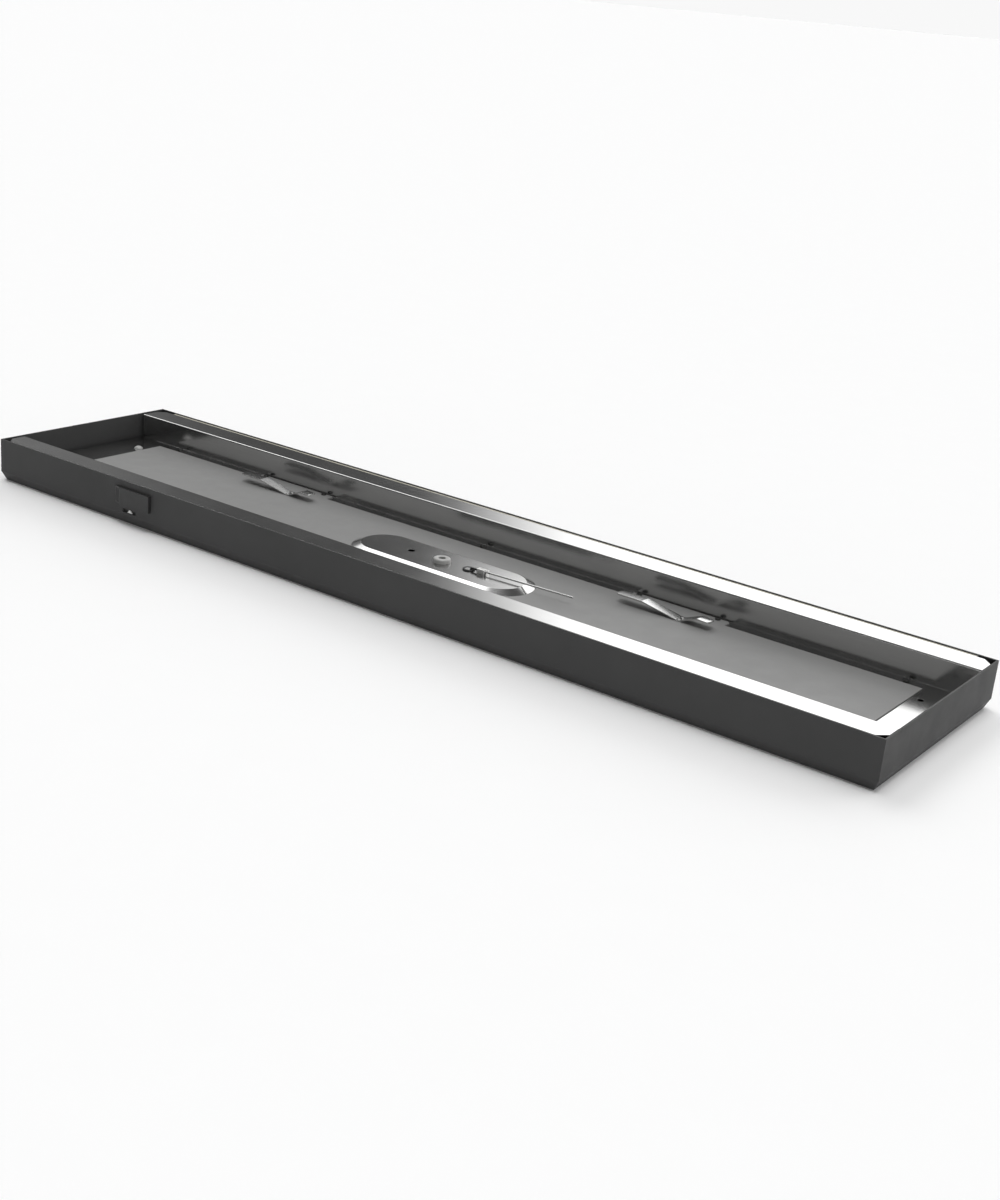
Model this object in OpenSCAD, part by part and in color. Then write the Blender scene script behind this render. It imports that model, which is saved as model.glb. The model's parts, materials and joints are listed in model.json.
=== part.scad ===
// Base tray of a linear electric fireplace.
// A folded casing holds a bright hat-section liner, and the liner carries a flat bed panel.
// A pressed oval plate stands up through the panel and has the feed collar, the sight hole
// and the temperature probe, and two bent cradle brackets stand on the panel. The electrical
// parts are under the liner floor and in the channels behind the liner walls.
// Frame: origin at the centre of the underside, +X along the tray to the right,
// +Y to the rear, +Z up. Millimetres.

/* [Casing] */
// Length of the casing
casing_len = 1000; // [980:5:1200]
// Width of the casing, front to rear
casing_width = 226.4; // [226.4:0.4:250]
// Height of the casing
casing_height = 43.5; // [43.5:0.5:55]
// Sheet thickness of the casing
casing_wall = 1.5; // [1.2:0.1:1.6]
// Height of the bevel round the bottom edge
bevel_height = 9.1; // [5:0.1:9.1]
// How far the bevel goes inwards
bevel_inset = 4; // [2:0.5:5]

/* [Liner] */
// Sheet thickness of the liner
liner_sheet = 1; // [0.8:0.1:1.2]
// Height of the liner floor above the underside
liner_floor = 17.3; // [17.3:0.1:18.5]
// Distance from the casing centre line to the liner's front wall
liner_front = 86.3; // [80:0.1:88]
// Distance from the casing centre line to the liner's rear wall
liner_rear = 78.8; // [76:0.1:80]
// Open gap between the liner and the left end wall
gap_left = 4.3; // [1:0.1:6]
// Open gap between the rear flange and the rear wall, which holds the light strip
gap_rear = 5.5; // [5.4:0.1:7]
// Clearance of the liner at the front and right walls
gap_close = 0.3; // [0.2:0.1:0.6]
// Size of the cut across each flange corner
corner_cut = 8; // [4:0.5:10]

/* [Bed panel] */
// Sheet thickness of the bed panel
panel_sheet = 1; // [0.8:0.1:1.2]
// Length of the bed panel
panel_len = 909; // [880:1:912]
// Bare strip of liner floor in front of and behind the panel
panel_margin = 13.8; // [12:0.1:15]
// Length of each rear ear of the panel
ear_len = 101.5; // [96:0.5:104]
// How far each ear reaches behind the panel
ear_reach = 11.5; // [10:0.1:11.8]

/* [Oval plate] */
// Sheet thickness of the oval plate
plate_sheet = 1; // [0.8:0.1:1.2]
// Height of the plate's flat top above the panel
plateau_rise = 4; // [3:0.1:5]
// Distance between the centres of the plate's round ends
plateau_span = 132; // [120:1:140]
// Radius of the round ends at the top
plateau_top_r = 25.9; // [24:0.1:27]
// Radius of the round ends at the foot of the slope
plateau_foot_r = 34.8; // [32:0.1:36]
// Diameter of the sight hole
sight_hole_d = 7.1; // [5:0.1:8]

/* [Feed collar] */
// Outer diameter of the feed collar
collar_d = 16.6; // [15:0.1:18]
// Bore of the feed collar
collar_bore_d = 6.8; // [5:0.1:7.2]
// Height of the collar above the plateau
collar_rise = 4.2; // [3:0.1:5]

/* [Cradle brackets] */
// Width of the bracket strip
bracket_width = 11.5; // [9:0.5:13]
// Thickness of the bracket strip
bracket_sheet = 1.2; // [1:0.1:1.5]
// Height of the upper face of the bracket tabs above the panel
bracket_rise = 8; // [7:0.5:9]

/* [Probe] */
// Diameter of the temperature probe
probe_d = 1.8; // [1.5:0.1:2.2]
// Length of the probe outside its clamp
probe_reach = 91; // [80:1:100]

/* [Slide control] */
// Length of the slider cap
slider_len = 50; // [46:1:52]
// Height of the slider cap
slider_height = 17; // [15:0.5:18]
// How far the slider cap stands out from the casing
slider_proud = 4; // [3.5:0.1:4]
// Travel of the slider each way
slider_travel = 5.5; // [4:0.5:5.5]

/* [Hidden] */

$fn = 48;
TINY = 0.01;
CUT = 1;

// Casing and liner faces
inner_y = casing_width / 2 - casing_wall;
liner_left = -casing_len / 2 + casing_wall + gap_left;
liner_right = casing_len / 2 - casing_wall - gap_close;
flange_front = -inner_y + gap_close;
flange_back = inner_y - gap_rear;
liner_under = liner_floor - liner_sheet;

// Bed panel and plateau faces
panel_x = 2.75;
panel_y = (liner_rear - liner_front) / 2;
panel_front = -liner_front + panel_margin;
panel_back = liner_rear - panel_margin;
panel_top = liner_floor + panel_sheet;
plateau_x = panel_x + 2;
plateau_y = panel_y - 1;
plateau_top = panel_top + plateau_rise;
plate_room = 0.2;

// Places of the fasteners and of the four fixing holes
margin_rear_y = liner_rear - panel_margin / 2;
margin_front_y = -liner_front + panel_margin / 2;
liner_screw_x = [-427, -5, 440];
fixing_x = panel_x - 0.45;
fixing_span_x = 926.6;
fixing_span_y = 90.6;
fixing_hole_d = 5.2;
ear_screw_y = 73.6;
screw_d = 3;

// Cradle brackets: the places of their feet, and their tab and ramp ends from the foot
bracket_x = [-236.8, 235.7];
bracket_y = 46.45;
bracket_tab_left = -65.7;
bracket_ramp_left = -38.7;
bracket_foot_half = 1.5;
bracket_ramp_right = 18.8;
bracket_tab_right = 30.8;
bracket_corner = 2.6;
ear_start = -67.5;
ear_screw_from_foot = [-60.5, 22.3];

// Things on the plateau
sight_hole = [-32.9, -4.2];
collar_at = [6.8, -7.6];
collar_shank_d = 11;
grommet_at = [36.6, -4.8];
grommet_d = 12;
grommet_bore_d = 7.6;
grommet_neck_d = 10;
clamp_at = [52.6, -4.5];
clamp_size = [10.6, 5.6, 4.6];
probe_turn = 4;
probe_z = plateau_top + 2.5;
lead_d = 2.2;
lead_exit_x = grommet_at[0] + 2.3;

// Slide control
slider_x = -297.5;
slider_z = 28.4;
casing_face = -casing_width / 2;
slider_face = casing_face - slider_proud;
slider_gap = 0.3;
stem_size = [18, 5];
stem_room = 0.4;
window_x = -303.4;
window_size = [18.6, 3.7];
window_z = 13.35;
pointer_size = [6.5, 3.1];
carriage_back = -inner_y + slider_gap + 2;
guide_size = [78, 28.6];
guide_z = 25.6;
guide_back = -inner_y + 5;
stud_d = 2.4;
board_front = guide_back + 7;
board_size = [74, 1.6, 26];

// Under-floor parts
supply_at = [235, -38];
supply_size = [170, 42, 12];
terminal_at = [400, 52];
terminal_size = [30, 18, 12];
bushing_x = 430;
bushing_z = 20;
bushing_bore_d = 8;
bushing_hole_d = 14;
earth_at = [360, 20];
feed_hole_d = 9;

// ---------- shared shapes ----------

// Upright outline of a sheet-metal tray with a bevel at its lower edges
module bevelled_outline(width, base_z, top_z) {
    polygon([
        [-width / 2 + bevel_inset, base_z],
        [width / 2 - bevel_inset, base_z],
        [width / 2, base_z + bevel_height],
        [width / 2, top_z],
        [-width / 2, top_z],
        [-width / 2, base_z + bevel_height]
    ]);
}

// Block with the same bevel on all four sides
module bevelled_block(len, width, base_z, top_z) {
    intersection() {
        rotate([90, 0, 90])
            linear_extrude(len, center = true) bevelled_outline(width, base_z, top_z);
        rotate([90, 0, 0])
            linear_extrude(width, center = true) bevelled_outline(len, base_z, top_z);
    }
}

// Hole along Z through everything near z
module hole(x, y, d, from_z, to_z) {
    translate([x, y, from_z - CUT]) cylinder(d = d, h = to_z - from_z + 2 * CUT);
}

// Pan-head screw, head seat at z = 0, shank downwards, with a cross recess
module pan_screw(d, shank) {
    head_d = 1.9 * d;
    head_h = 0.62 * d;
    difference() {
        union() {
            cylinder(d = head_d, h = 0.55 * head_h);
            translate([0, 0, 0.55 * head_h]) cylinder(d1 = head_d, d2 = 0.72 * head_d, h = 0.45 * head_h);
            translate([0, 0, -shank]) cylinder(d = d, h = shank + TINY);
        }
        for (turn = [0, 90])
            rotate(turn) translate([-0.55 * d, -0.11 * d, 0.45 * head_h]) cube([1.1 * d, 0.22 * d, head_h]);
    }
}

// The six places where the liner is screwed to the casing
module at_liner_screws() {
    for (x = liner_screw_x, y = [margin_front_y, margin_rear_y]) translate([x, y, 0]) children();
}

// The four fixing holes near the ends of the tray
module at_fixing_holes(ends) {
    for (end = ends, side = [-1, 1])
        translate([fixing_x + end * fixing_span_x / 2, panel_y + side * fixing_span_y / 2, 0])
            children();
}

// The four places where the bed panel's ears are screwed down
module at_ear_screws() {
    for (foot = bracket_x, from_foot = ear_screw_from_foot)
        translate([foot + from_foot, ear_screw_y, 0]) children();
}

// Outline of the oval plate
module oval(r) {
    square([plateau_span, 2 * r], center = true);
    for (side = [-1, 1]) translate([side * plateau_span / 2, 0]) circle(r = r, $fn = 96);
}

// Upright oval block with sloping sides
module oval_mound(foot_r, top_r, rise) {
    hull()
        for (side = [-1, 1])
            translate([side * plateau_span / 2, 0, 0]) cylinder(r1 = foot_r, r2 = top_r, h = rise, $fn = 96);
}

// ---------- round leads swept along a route of corners ----------

function unit(v) = v / norm(v);

// Points of a route whose corners are rounded by the given distance
function rounded_route(corners, bend) = [
    for (i = [0 : len(corners) - 1])
        let (here = corners[i])
            each i == 0 || i == len(corners) - 1
                ? [here]
                : let (
                    before = here + bend * unit(corners[i - 1] - here),
                    after = here + bend * unit(corners[i + 1] - here)
                ) [for (t = [0 : 0.25 : 1])
                    (1 - t) * (1 - t) * before + 2 * t * (1 - t) * here + t * t * after]
];

function heading(path, i) =
    i == 0 ? unit(path[1] - path[0])
    : i == len(path) - 1 ? unit(path[i] - path[i - 1])
    : unit(unit(path[i + 1] - path[i]) + unit(path[i] - path[i - 1]));

// A direction across the path that doesn't twist from ring to ring
function across(path, i) =
    let (ahead = heading(path, i))
        let (last = i == 0 ? (abs(ahead[2]) > 0.9 ? [1, 0, 0] : [0, 0, 1]) : across(path, i - 1))
            unit(last - (last * ahead) * ahead);

module lead(corners, d, bend) {
    sides = 8;
    path = rounded_route(corners, bend);
    rings = len(path);
    points = [
        for (i = [0 : rings - 1])
            let (u = across(path, i), v = cross(heading(path, i), u))
                for (k = [0 : sides - 1])
                    path[i] + d / 2 * (cos(360 * k / sides) * u + sin(360 * k / sides) * v)
    ];
    walls = [
        for (i = [0 : rings - 2], k = [0 : sides - 1])
            let (next = (k + 1) % sides)
                [i * sides + k, (i + 1) * sides + k, (i + 1) * sides + next, i * sides + next]
    ];
    first_end = [for (k = [0 : sides - 1]) k];
    last_end = [for (k = [sides - 1 : -1 : 0]) (rings - 1) * sides + k];
    polyhedron(points, concat(walls, [first_end, last_end]), convexity = 6);
}

// ---------- casing and liner ----------

module casing() {
    color([0.24, 0.24, 0.24])
    difference() {
        bevelled_block(casing_len, casing_width, 0, casing_height);
        bevelled_block(
            casing_len - 2 * casing_wall, casing_width - 2 * casing_wall,
            casing_wall, casing_height + CUT
        );
        at_fixing_holes([-1, 1]) hole(0, 0, fixing_hole_d, 0, casing_wall);
        hole(collar_at[0], collar_at[1], feed_hole_d, 0, casing_wall);
        casing_vents();
        casing_slider_openings();
        translate([bushing_x, casing_width / 2 + CUT, bushing_z])
            rotate([90, 0, 0]) cylinder(d = bushing_hole_d, h = casing_wall + 2 * CUT);
    }
    // Studs welded inside the front wall, which hold the slider guide
    color([0.24, 0.24, 0.24])
    at_guide_studs(-inner_y - TINY) cylinder(d = stud_d, h = guide_back + inner_y + 3.5);
}

// Rows of round-ended slots below the power supply and the control
module casing_vents() {
    slot_len = 28;
    slot_width = 3;
    for (row = [-1, 1], i = [-5 : 5])
        translate([supply_at[0] + 14 * i, supply_at[1] + 20 * row, -CUT])
            linear_extrude(casing_wall + 2 * CUT) {
                square([slot_width, slot_len - slot_width], center = true);
                for (end = [-1, 1]) translate([0, end * (slot_len - slot_width) / 2]) circle(d = slot_width);
            }
}

module casing_slider_openings() {
    room_x = stem_size[0] + 2 * (slider_travel + stem_room);
    room_z = stem_size[1] + 2 * stem_room;
    translate([slider_x, -casing_width / 2, slider_z])
        cube([room_x, 4 * casing_wall, room_z], center = true);
    translate([window_x, -casing_width / 2, window_z])
        cube([window_size[0], 4 * casing_wall, window_size[1]], center = true);
}

module liner_standoffs() {
    color([0.62, 0.62, 0.60])
    at_liner_screws() difference() {
        translate([0, 0, casing_wall]) cylinder(d = 8, h = liner_under - casing_wall);
        translate([0, 0, liner_under - 9]) cylinder(d = screw_d, h = 10);
    }
}

module liner() {
    front = -liner_front;
    back = liner_rear;
    sheet = liner_sheet;
    top = casing_height;
    color([0.70, 0.70, 0.69])
    difference() {
        intersection() {
            translate([liner_left, 0, 0]) rotate([90, 0, 90]) linear_extrude(liner_right - liner_left)
                polygon([
                    [flange_front, top], [flange_front, top - sheet],
                    [front - sheet, top - sheet], [front - sheet, liner_under],
                    [back + sheet, liner_under], [back + sheet, top - sheet],
                    [flange_back, top - sheet], [flange_back, top],
                    [back, top], [back, liner_floor],
                    [front, liner_floor], [front, top]
                ]);
            linear_extrude(casing_height + CUT) liner_outline();
        }
        at_liner_screws() hole(0, 0, screw_d + 0.4, liner_under, liner_floor);
        at_ear_screws() hole(0, 0, screw_d, liner_under, liner_floor);
        at_fixing_holes([-1, 1]) hole(0, 0, fixing_hole_d, liner_under, liner_floor);
        hole(collar_at[0], collar_at[1], collar_shank_d + 0.4, liner_under, liner_floor);
        hole(grommet_at[0], grommet_at[1], grommet_bore_d, liner_under, liner_floor);
    }
}

// Plan of the liner with its four flange corners cut off
module liner_outline() {
    c = corner_cut;
    polygon([
        [liner_left + c, flange_front], [liner_right - c, flange_front],
        [liner_right, flange_front + c], [liner_right, flange_back - c],
        [liner_right - c, flange_back], [liner_left + c, flange_back],
        [liner_left, flange_back - c], [liner_left, flange_front + c]
    ]);
}

module liner_screws() {
    color([0.55, 0.55, 0.54])
    at_liner_screws() translate([0, 0, liner_floor]) pan_screw(screw_d - 0.1, 8);
}

// Blanking plugs in the left pair of fixing holes
module hole_plugs() {
    cap_r = 4.75;
    cap_h = 2.9;
    color([0.80, 0.80, 0.79])
    at_fixing_holes([-1]) translate([0, 0, liner_floor]) {
        intersection() {
            translate([0, 0, cap_h - 5.6]) sphere(r = 5.6);
            cylinder(r = cap_r, h = cap_h + CUT);
        }
        translate([0, 0, -3]) cylinder(d = fixing_hole_d - 0.2, h = 3 + TINY);
    }
}

// ---------- bed panel and cradle brackets ----------

module bed_panel() {
    color([0.52, 0.52, 0.51])
    difference() {
        union() {
            translate([panel_x - panel_len / 2, panel_front, liner_floor])
                cube([panel_len, panel_back - panel_front, panel_sheet]);
            for (foot = bracket_x) translate([foot + ear_start, panel_back - TINY, liner_floor]) ear();
        }
        translate([plateau_x, plateau_y, liner_floor - CUT])
            linear_extrude(panel_sheet + 2 * CUT) oval(plateau_foot_r + plate_room);
        at_ear_screws() hole(0, 0, screw_d + 0.4, liner_floor, panel_top);
    }
}

// Pressed plate that stands on the liner floor and rises through the panel's oval opening
module oval_plate() {
    low = plateau_top - plate_sheet;
    color([0.62, 0.62, 0.61])
    difference() {
        translate([plateau_x, plateau_y, liner_floor]) difference() {
            union() {
                linear_extrude(panel_sheet) oval(plateau_foot_r);
                translate([0, 0, panel_sheet]) oval_mound(plateau_foot_r, plateau_top_r, plateau_rise);
            }
            translate([0, 0, -TINY])
                oval_mound(
                    plateau_foot_r - plate_sheet, plateau_top_r - plate_sheet,
                    panel_sheet + plateau_rise - plate_sheet + TINY
                );
        }
        hole(sight_hole[0], sight_hole[1], sight_hole_d, low, plateau_top);
        hole(collar_at[0], collar_at[1], collar_shank_d + 0.4, low, plateau_top);
        hole(grommet_at[0], grommet_at[1], grommet_neck_d, low, plateau_top);
        hole(clamp_at[0], clamp_at[1], 2, low, plateau_top);
    }
}

// Rear ear of the bed panel, with its free corners cut off
module ear() {
    c = 2.5;
    linear_extrude(panel_sheet)
        polygon([[0, 0], [ear_len, 0], [ear_len, ear_reach - c], [ear_len - c, ear_reach],
            [c, ear_reach], [0, ear_reach - c]]);
}

module panel_screws() {
    color([0.45, 0.45, 0.44])
    at_ear_screws() translate([0, 0, panel_top]) pan_screw(screw_d - 0.1, 6);
}

// Bent strip: left tab, long ramp, welded foot, steep ramp and right tab
module bracket(foot_x) {
    rise = bracket_rise - bracket_sheet;
    line = [
        [bracket_tab_left, rise], [bracket_ramp_left, rise], [-bracket_foot_half, 0],
        [bracket_foot_half, 0], [bracket_ramp_right, rise], [bracket_tab_right, rise]
    ];
    last = len(line) - 1;
    under = [for (p = line) p];
    over = [for (i = [last : -1 : 0]) line[i] + [0, bracket_sheet]];
    translate([foot_x, bracket_y, panel_top])
    intersection() {
        rotate([90, 0, 0]) linear_extrude(bracket_width, center = true) polygon(concat(under, over));
        linear_extrude(bracket_rise + CUT) bracket_outline();
    }
}

module bracket_outline() {
    c = bracket_corner;
    w = bracket_width / 2;
    polygon([
        [bracket_tab_left + c, -w], [bracket_tab_right - c, -w],
        [bracket_tab_right, -w + c], [bracket_tab_right, w - c],
        [bracket_tab_right - c, w], [bracket_tab_left + c, w],
        [bracket_tab_left, w - c], [bracket_tab_left, -w + c]
    ]);
}

module bracket_left() {
    color([0.78, 0.78, 0.77]) bracket(bracket_x[0]);
}

module bracket_right() {
    color([0.78, 0.78, 0.77]) bracket(bracket_x[1]);
}

// ---------- feed collar ----------

module feed_collar() {
    r = collar_d / 2;
    bore = collar_bore_d / 2;
    shank = collar_shank_d / 2;
    edge = 1.6;
    shank_end = liner_under - 6.5;
    color([0.66, 0.66, 0.65])
    translate([collar_at[0], collar_at[1], 0]) rotate_extrude($fn = 72) union() {
        translate([bore, plateau_top]) square([r - bore, collar_rise - edge]);
        translate([bore, plateau_top]) square([r - edge - bore, collar_rise]);
        translate([r - edge, plateau_top + collar_rise - edge]) circle(r = edge);
        translate([bore, shank_end]) square([shank - bore, plateau_top - shank_end + TINY]);
    }
}

module collar_nut() {
    color([0.72, 0.66, 0.42])
    translate([collar_at[0], collar_at[1], liner_under - 4]) difference() {
        cylinder(d = 18.5, h = 4, $fn = 6);
        translate([0, 0, -CUT]) cylinder(d = collar_shank_d, h = 4 + 2 * CUT);
    }
}

// ---------- temperature probe ----------

// Rubber ring that snaps round the edge of its hole in the plateau
module lead_grommet() {
    r = grommet_d / 2;
    bore = grommet_bore_d / 2;
    neck = grommet_neck_d / 2;
    low = plateau_top - plate_sheet;
    color([0.05, 0.05, 0.05])
    translate([grommet_at[0], grommet_at[1], 0]) rotate_extrude() union() {
        translate([bore, plateau_top]) square([r - bore - 0.6, 1.2]);
        translate([bore, plateau_top]) square([r - bore, 0.6]);
        translate([r - 0.6, plateau_top + 0.6]) circle(r = 0.6);
        translate([bore, low - TINY]) square([neck - bore, plate_sheet + 2 * TINY]);
        translate([bore, low - 1.2]) square([r - bore, 1.2]);
    }
}

module lead_ferrule() {
    color([0.85, 0.85, 0.84])
    translate([grommet_at[0], grommet_at[1], 0]) difference() {
        translate([0, 0, plateau_top - 3]) cylinder(d = grommet_bore_d, h = 3.9);
        translate([lead_exit_x - grommet_at[0], 0, plateau_top - 4]) cylinder(d = lead_d + 0.2, h = 6);
    }
}

// Puts its children in the probe's own direction, with the clamp's middle at the origin
module along_probe() {
    translate([clamp_at[0], clamp_at[1], plateau_top]) rotate(probe_turn) children();
}

module probe_clamp() {
    size = clamp_size;
    color([0.80, 0.80, 0.79])
    along_probe() difference() {
        translate([-size[0] / 2, -size[1] / 2, 0]) cube(size);
        translate([-size[0] / 2 - CUT, 0, probe_z - plateau_top])
            rotate([0, 90, 0]) cylinder(d = lead_d, h = 4 + CUT);
        translate([-size[0] / 2 + 4 - TINY, 0, probe_z - plateau_top])
            rotate([0, 90, 0]) cylinder(d = probe_d, h = size[0]);
        translate([size[0] / 2 - 1.8, -size[1], size[2] - 1.4]) cube([0.8, 2 * size[1], 2]);
    }
}

module clamp_screw() {
    color([0.60, 0.60, 0.59])
    translate([clamp_at[0], clamp_at[1], 0])
        translate([0, 0, plateau_top - plate_sheet]) rotate([180, 0, 0]) intersection() {
            pan_screw(2, 0.9);
            translate([0, 0, -0.9]) cylinder(d = 6, h = 4);
        }
}

module temperature_probe() {
    start = -clamp_size[0] / 2 + 4;
    total = clamp_size[0] / 2 - start + probe_reach;
    color([0.75, 0.75, 0.74])
    along_probe() translate([start, 0, probe_z - plateau_top]) rotate([0, 90, 0]) {
        cylinder(d = probe_d, h = total - probe_d / 2, $fn = 32);
        translate([0, 0, total - probe_d / 2]) sphere(d = probe_d, $fn = 32);
    }
}

// The probe's lead rises through the ferrule, and below the floor it runs to the control board
module probe_lead() {
    clamp_mouth = clamp_at[0] - (clamp_size[0] / 2 - 4) * cos(probe_turn);
    clamp_mouth_y = clamp_at[1] - (clamp_size[0] / 2 - 4) * sin(probe_turn);
    color([0.06, 0.06, 0.06])
    lead([
        [clamp_mouth, clamp_mouth_y, probe_z],
        [clamp_mouth - 5.5, clamp_mouth_y - 0.4, probe_z],
        [lead_exit_x, grommet_at[1], probe_z],
        [lead_exit_x, grommet_at[1], 9],
        [lead_exit_x, -30, 9],
        [-255, -30, 9],
        [-255, -94, 9],
        [-270, -94, 14],
        [-270, board_front + board_size[1], 14]
    ], lead_d, 2.6);
}

// ---------- rear light strip ----------

channel_size = [960, 5.2, 9];
channel_z = casing_height - 0.8 - channel_size[2];
channel_wall = 0.7;

module light_channel() {
    color([0.30, 0.30, 0.30])
    translate([panel_x - channel_size[0] / 2, inner_y - channel_size[1], channel_z]) difference() {
        cube(channel_size);
        translate([-CUT, channel_wall, channel_wall])
            cube([channel_size[0] + 2 * CUT, channel_size[1] - 2 * channel_wall, channel_size[2]]);
    }
}

module light_board() {
    color([0.92, 0.92, 0.88])
    translate([panel_x - channel_size[0] / 2 + 4, inner_y - channel_size[1] + 1, channel_z + channel_wall])
        cube([channel_size[0] - 8, channel_size[1] - 2, 0.6]);
}

module light_chips() {
    chip = [3.5, 2.6, 1.1];
    count = 48;
    step = (channel_size[0] - 24) / (count - 1);
    color([0.95, 0.85, 0.45])
    for (i = [0 : count - 1])
        translate([
            panel_x - channel_size[0] / 2 + 12 + i * step - chip[0] / 2,
            inner_y - channel_size[1] / 2 - chip[1] / 2,
            channel_z + channel_wall + 0.6
        ]) cube(chip);
}

module light_diffuser() {
    lip = 1.6;
    color([0.75, 0.73, 0.66, 0.8])
    translate([
        panel_x - channel_size[0] / 2, inner_y - channel_size[1] + channel_wall,
        channel_z + channel_size[2] - lip
    ]) cube([channel_size[0], channel_size[1] - 2 * channel_wall, lip]);
}

// ---------- slide control ----------

// Cap with a sloping, ribbed finger grip at its left end, and the stem that goes inside
module slider_cap() {
    ramp = 9.3;
    ramp_lip = 0.8;
    left = -slider_len / 2;
    right = slider_len / 2;
    back = casing_face - slider_gap;
    color([0.19, 0.19, 0.19])
    difference() {
        translate([slider_x, 0, slider_z]) union() {
            translate([0, 0, -slider_height / 2]) linear_extrude(slider_height)
                polygon([
                    [left, back], [left, back - ramp_lip], [left + ramp, slider_face],
                    [right, slider_face], [right, back]
                ]);
            translate([-stem_size[0] / 2, back - TINY, -stem_size[1] / 2])
                cube([stem_size[0], carriage_back - 2 - back + TINY, stem_size[1]]);
        }
        for (i = [0 : 2]) slider_groove(left + 2.2 + 2.4 * i);
        for (side = [-1, 1]) translate([slider_x + side * 5, carriage_back - 6, slider_z])
            rotate([-90, 0, 0]) cylinder(d = 1.8, h = 6);
    }
}

module slider_groove(from_middle) {
    ramp_slope = atan((slider_proud - slider_gap - 0.8) / 9.3);
    depth = casing_face - slider_gap - 0.8 - (from_middle + slider_len / 2) * tan(ramp_slope);
    translate([slider_x + from_middle, depth, slider_z])
        cylinder(d = 1.1, h = slider_height - 3, center = true, $fn = 24);
}

module slider_pointer() {
    w = pointer_size[0];
    h = pointer_size[1];
    depth = 1.2;
    color([0.97, 0.97, 0.97])
    translate([window_x, -inner_y + slider_gap, window_z]) rotate([90, 0, 0])
        linear_extrude(depth) polygon([[-w / 2, -h / 2], [w / 2, -h / 2], [0, h / 2]]);
}

// Plate behind the casing wall that joins cap, pointer and switch
module slider_carriage() {
    left = window_x - 17;
    right = slider_x + 17;
    low = window_z - 2.2;
    high = slider_z + 8;
    front = -inner_y + slider_gap;
    color([0.03, 0.03, 0.03])
    difference() {
        union() {
            translate([left, front, low]) cube([right - left, 2, high - low]);
            translate([slider_x - 1.5, front + 2 - TINY, slider_z - 9]) cube([3, 5.4, 3]);
        }
        for (side = [-1, 1]) translate([slider_x + side * 5, front - CUT, slider_z])
            rotate([-90, 0, 0]) cylinder(d = 2.2, h = 2 + 2 * CUT);
    }
}

module carriage_screws() {
    color([0.65, 0.65, 0.64])
    for (side = [-1, 1]) translate([slider_x + side * 5, carriage_back, slider_z])
        rotate([-90, 0, 0]) intersection() {
            pan_screw(1.7, 5);
            translate([0, 0, -6]) cylinder(d = 4, h = 6.8);
        }
}

// Frame that holds the carriage against the wall and carries the control board
module slider_guide() {
    front = -inner_y;
    room = [
        window_x - 17 - slider_travel - 0.4, slider_x + 17 + slider_travel + 0.4,
        window_z - 2.2 - slider_gap, slider_z + 8 + slider_gap
    ];
    cavity = carriage_back + 1 - front;
    color([0.10, 0.10, 0.10])
    difference() {
        union() {
            translate([slider_x - guide_size[0] / 2, front, guide_z - guide_size[1] / 2])
                cube([guide_size[0], guide_back - front, guide_size[1]]);
            for (x = [-1, 1], z = [-1, 1])
                translate([slider_x + 34 * x, guide_back - TINY, guide_z + 10 * z])
                    rotate([-90, 0, 0]) cylinder(d = 5, h = board_front - guide_back + TINY);
        }
        translate([room[0], front - TINY, room[2]])
            cube([room[1] - room[0], cavity, room[3] - room[2]]);
        translate([slider_x - 1.5 - slider_travel - 0.4, front, slider_z - 9.4])
            cube([3 + 2 * slider_travel + 0.8, 10, 3.8]);
        at_guide_studs(front - CUT) cylinder(d = stud_d, h = 20);
        for (x = [-1, 1], z = [-1, 1])
            translate([slider_x + 34 * x, board_front - 5, guide_z + 10 * z])
                rotate([-90, 0, 0]) cylinder(d = 1.8, h = 6);
    }
}

module guide_nuts() {
    color([0.55, 0.55, 0.54])
    at_guide_studs(guide_back) difference() {
        cylinder(d = 5.2, h = 2.2, $fn = 6);
        translate([0, 0, -CUT]) cylinder(d = stud_d, h = 2.2 + 2 * CUT);
    }
}

// The guide's two studs, along +Y from the given depth
module at_guide_studs(from_y) {
    for (side = [-1, 1]) translate([slider_x + 34 * side, from_y, guide_z])
        rotate([-90, 0, 0]) children();
}

// Switch body on the board, with a slot for the carriage's post
module slide_switch() {
    front = guide_back + 0.3;
    slot_x = 3 + 2 * slider_travel + 0.8;
    color([0.35, 0.35, 0.36])
    difference() {
        translate([slider_x - 12, front, slider_z - 11.5]) cube([24, board_front - front, 8]);
        translate([slider_x - slot_x / 2, front - CUT, slider_z - 9.4]) cube([slot_x, 4 + CUT, 3.8]);
    }
}

module control_board() {
    color([0.05, 0.30, 0.16])
    difference() {
        translate([slider_x - board_size[0] / 2, board_front, guide_z - board_size[2] / 2]) cube(board_size);
        for (x = [-1, 1], z = [-1, 1])
            translate([slider_x + 34 * x, board_front - CUT, guide_z + 10 * z])
                rotate([-90, 0, 0]) cylinder(d = 2.2, h = board_size[1] + 2 * CUT);
    }
}

// Processor, relay and two capacitors behind the board
module board_parts() {
    back = board_front + board_size[1];
    color([0.12, 0.12, 0.13]) {
        translate([slider_x - 5, back, guide_z + 1]) cube([9, 1.2, 9]);
        translate([slider_x - 28, back, guide_z - 4]) cube([15, 6.5, 10]);
        for (x = [12, 21]) translate([slider_x + x, back, guide_z + 4])
            rotate([-90, 0, 0]) cylinder(d = 6.3, h = 6);
    }
}

module board_screws() {
    color([0.70, 0.70, 0.69])
    for (x = [-1, 1], z = [-1, 1])
        translate([slider_x + 34 * x, board_front + board_size[1], guide_z + 10 * z])
            rotate([-90, 0, 0]) pan_screw(1.7, 5);
}

// ---------- under-floor electrical parts ----------

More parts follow.
